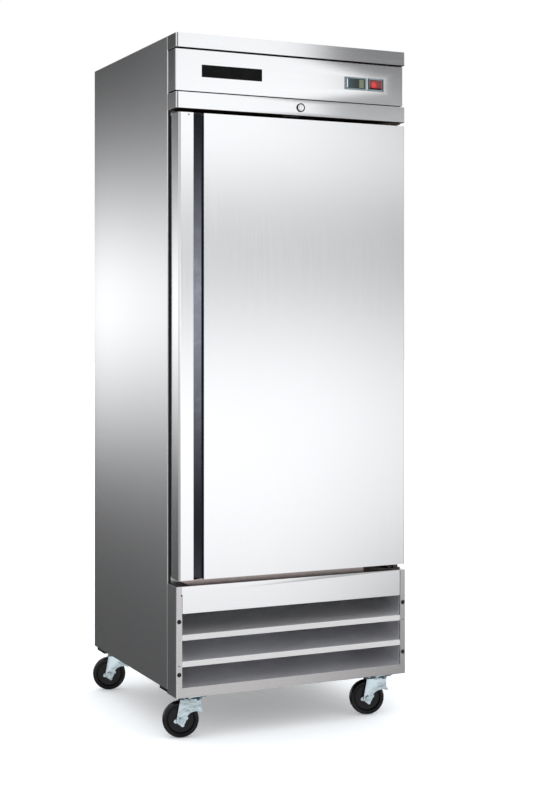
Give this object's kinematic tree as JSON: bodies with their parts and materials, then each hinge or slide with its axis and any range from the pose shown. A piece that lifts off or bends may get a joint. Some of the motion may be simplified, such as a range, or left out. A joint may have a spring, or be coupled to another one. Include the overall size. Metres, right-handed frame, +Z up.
{
  "type": "reach-in refrigerator",
  "caption": "Upright stainless reach-in refrigerator on swivel casters, with a full-height recessed-grip door, header controls with a lock, and a louvred lower grille.",
  "frame": {"origin": "on the floor, under the middle of the cabinet", "axes": "+Z up, -Y towards the user in front of the door, +X to the door's hinge side"},
  "size_m": [0.7275, 0.695, 1.915],
  "materials": {
    "stainless": "fine brushed stainless sheet",
    "galvanised": "galvanised sheet, semi-matt",
    "foam": "rigid insulation foam",
    "aluminium": "bright sheet and fins",
    "black_plastic": "fine grained",
    "thermostat": "dark display in a slim frame",
    "red_plastic": "translucent red rocker",
    "lock_chrome": "polished",
    "grey_plastic": "smooth dark channel",
    "gasket": "soft magnetic seal",
    "white_coat": "white coated wire",
    "black_steel": "semi-gloss black enamel",
    "zinc": "bright zinc plate with a faint blue tint",
    "caster_tread": "hard black tread and core"
  },
  "bodies": {
    "cabinet": {"side_panel_left": "stainless", "side_panel_right": "stainless", "top_panel": "stainless", "rear_panel": "galvanised", "foam_insulation": "foam", "inner_liner": "aluminium", "face_frame": "stainless", "header_top_rail": "stainless", "header_fascia": "stainless", "header_lower_rail": "stainless", "name_plate": "black_plastic", "thermostat": "thermostat", "switch_housing": "black_plastic", "lock_housing": "lock_chrome", "hinge_bracket_top": "stainless", "hinge_bracket_bottom": "stainless", "grille_frame": "stainless", "grille_louvres": "stainless", "shelf_pilaster_front_left": "stainless", "shelf_pilaster_front_right": "stainless", "shelf_pilaster_rear_left": "stainless", "shelf_pilaster_rear_right": "stainless", "wire_shelf_1": "white_coat", "wire_shelf_2": "white_coat", "wire_shelf_3": "white_coat", "evaporator_cover": "aluminium", "evaporator_coil": "aluminium", "evaporator_fan_motor": "black_plastic", "base_frame": "black_steel", "compressor": "black_steel", "condenser_coil": "aluminium", "condenser_shroud": "galvanised", "condenser_fan_motor": "black_plastic", "electrical_box": "galvanised", "rear_guard": "galvanised", "caster_plate_front_left": "zinc", "caster_plate_front_right": "zinc", "caster_plate_rear_left": "zinc", "caster_plate_rear_right": "zinc"},
    "door": {"door_skin": "stainless", "door_handle_channel": "grey_plastic", "door_foam": "foam", "door_liner": "aluminium", "door_gasket": "gasket"},
    "rocker": {"rocker_switch": "red_plastic"},
    "lock": {"lock_cylinder": "lock_chrome"},
    "evaporator_rotor": {"evaporator_fan": "black_plastic"},
    "condenser_rotor": {"condenser_fan": "aluminium"},
    "caster_swivel_front_left": {"caster_fork_front_left": "zinc", "caster_axle_front_left": "zinc"},
    "caster_roller_front_left": {"caster_wheel_front_left": "caster_tread"},
    "caster_swivel_front_right": {"caster_fork_front_right": "zinc", "caster_axle_front_right": "zinc"},
    "caster_roller_front_right": {"caster_wheel_front_right": "caster_tread"},
    "caster_swivel_rear_left": {"caster_fork_rear_left": "zinc", "caster_axle_rear_left": "zinc"},
    "caster_roller_rear_left": {"caster_wheel_rear_left": "caster_tread"},
    "caster_swivel_rear_right": {"caster_fork_rear_right": "zinc", "caster_axle_rear_right": "zinc"},
    "caster_roller_rear_right": {"caster_wheel_rear_right": "caster_tread"}
  },
  "joints": [
    {"name": "door_swing", "type": "hinge", "parent": "cabinet", "child": "door", "pos_m": [0.3355, -0.318, 1.0685], "axis": [0, 0, 1], "range_deg": [0, 110]},
    {"name": "rocker_tilt", "type": "hinge", "parent": "cabinet", "child": "rocker", "pos_m": [0.26295, -0.327, 1.81575], "axis": [1, 0, 0], "range_deg": [0, 16]},
    {"name": "lock_turn", "type": "hinge", "parent": "cabinet", "child": "lock", "pos_m": [0.018, -0.33, 1.734], "axis": [0, -1, 0], "range_deg": [0, 90]},
    {"name": "evaporator_fan_spin", "type": "hinge", "parent": "cabinet", "child": "evaporator_rotor", "pos_m": [0, 0.108, 1.783], "axis": [0, 1, 0], "continuous": true},
    {"name": "condenser_fan_spin", "type": "hinge", "parent": "cabinet", "child": "condenser_rotor", "pos_m": [-0.12, -0.1417, 0.256], "axis": [0, 1, 0], "continuous": true},
    {"name": "swivel_front_left", "type": "hinge", "parent": "cabinet", "child": "caster_swivel_front_left", "pos_m": [-0.2895, -0.3, 0.11], "axis": [0, 0, 1], "continuous": true},
    {"name": "roll_front_left", "type": "hinge", "parent": "caster_swivel_front_left", "child": "caster_roller_front_left", "pos_m": [-0.32122, -0.2909, 0.05], "axis": [-0.2756, -0.9613, 0], "continuous": true},
    {"name": "swivel_front_right", "type": "hinge", "parent": "cabinet", "child": "caster_swivel_front_right", "pos_m": [0.2895, -0.3, 0.11], "axis": [0, 0, 1], "continuous": true},
    {"name": "roll_front_right", "type": "hinge", "parent": "caster_swivel_front_right", "child": "caster_roller_front_right", "pos_m": [0.25778, -0.2909, 0.05], "axis": [-0.2756, -0.9613, 0], "continuous": true},
    {"name": "swivel_rear_left", "type": "hinge", "parent": "cabinet", "child": "caster_swivel_rear_left", "pos_m": [-0.2895, 0.296, 0.11], "axis": [0, 0, 1], "continuous": true},
    {"name": "roll_rear_left", "type": "hinge", "parent": "caster_swivel_rear_left", "child": "caster_roller_rear_left", "pos_m": [-0.32122, 0.3051, 0.05], "axis": [-0.2756, -0.9613, 0], "continuous": true},
    {"name": "swivel_rear_right", "type": "hinge", "parent": "cabinet", "child": "caster_swivel_rear_right", "pos_m": [0.2895, 0.296, 0.11], "axis": [0, 0, 1], "continuous": true},
    {"name": "roll_rear_right", "type": "hinge", "parent": "caster_swivel_rear_right", "child": "caster_roller_rear_right", "pos_m": [0.25778, 0.3051, 0.05], "axis": [-0.2756, -0.9613, 0], "continuous": true}
  ]
}
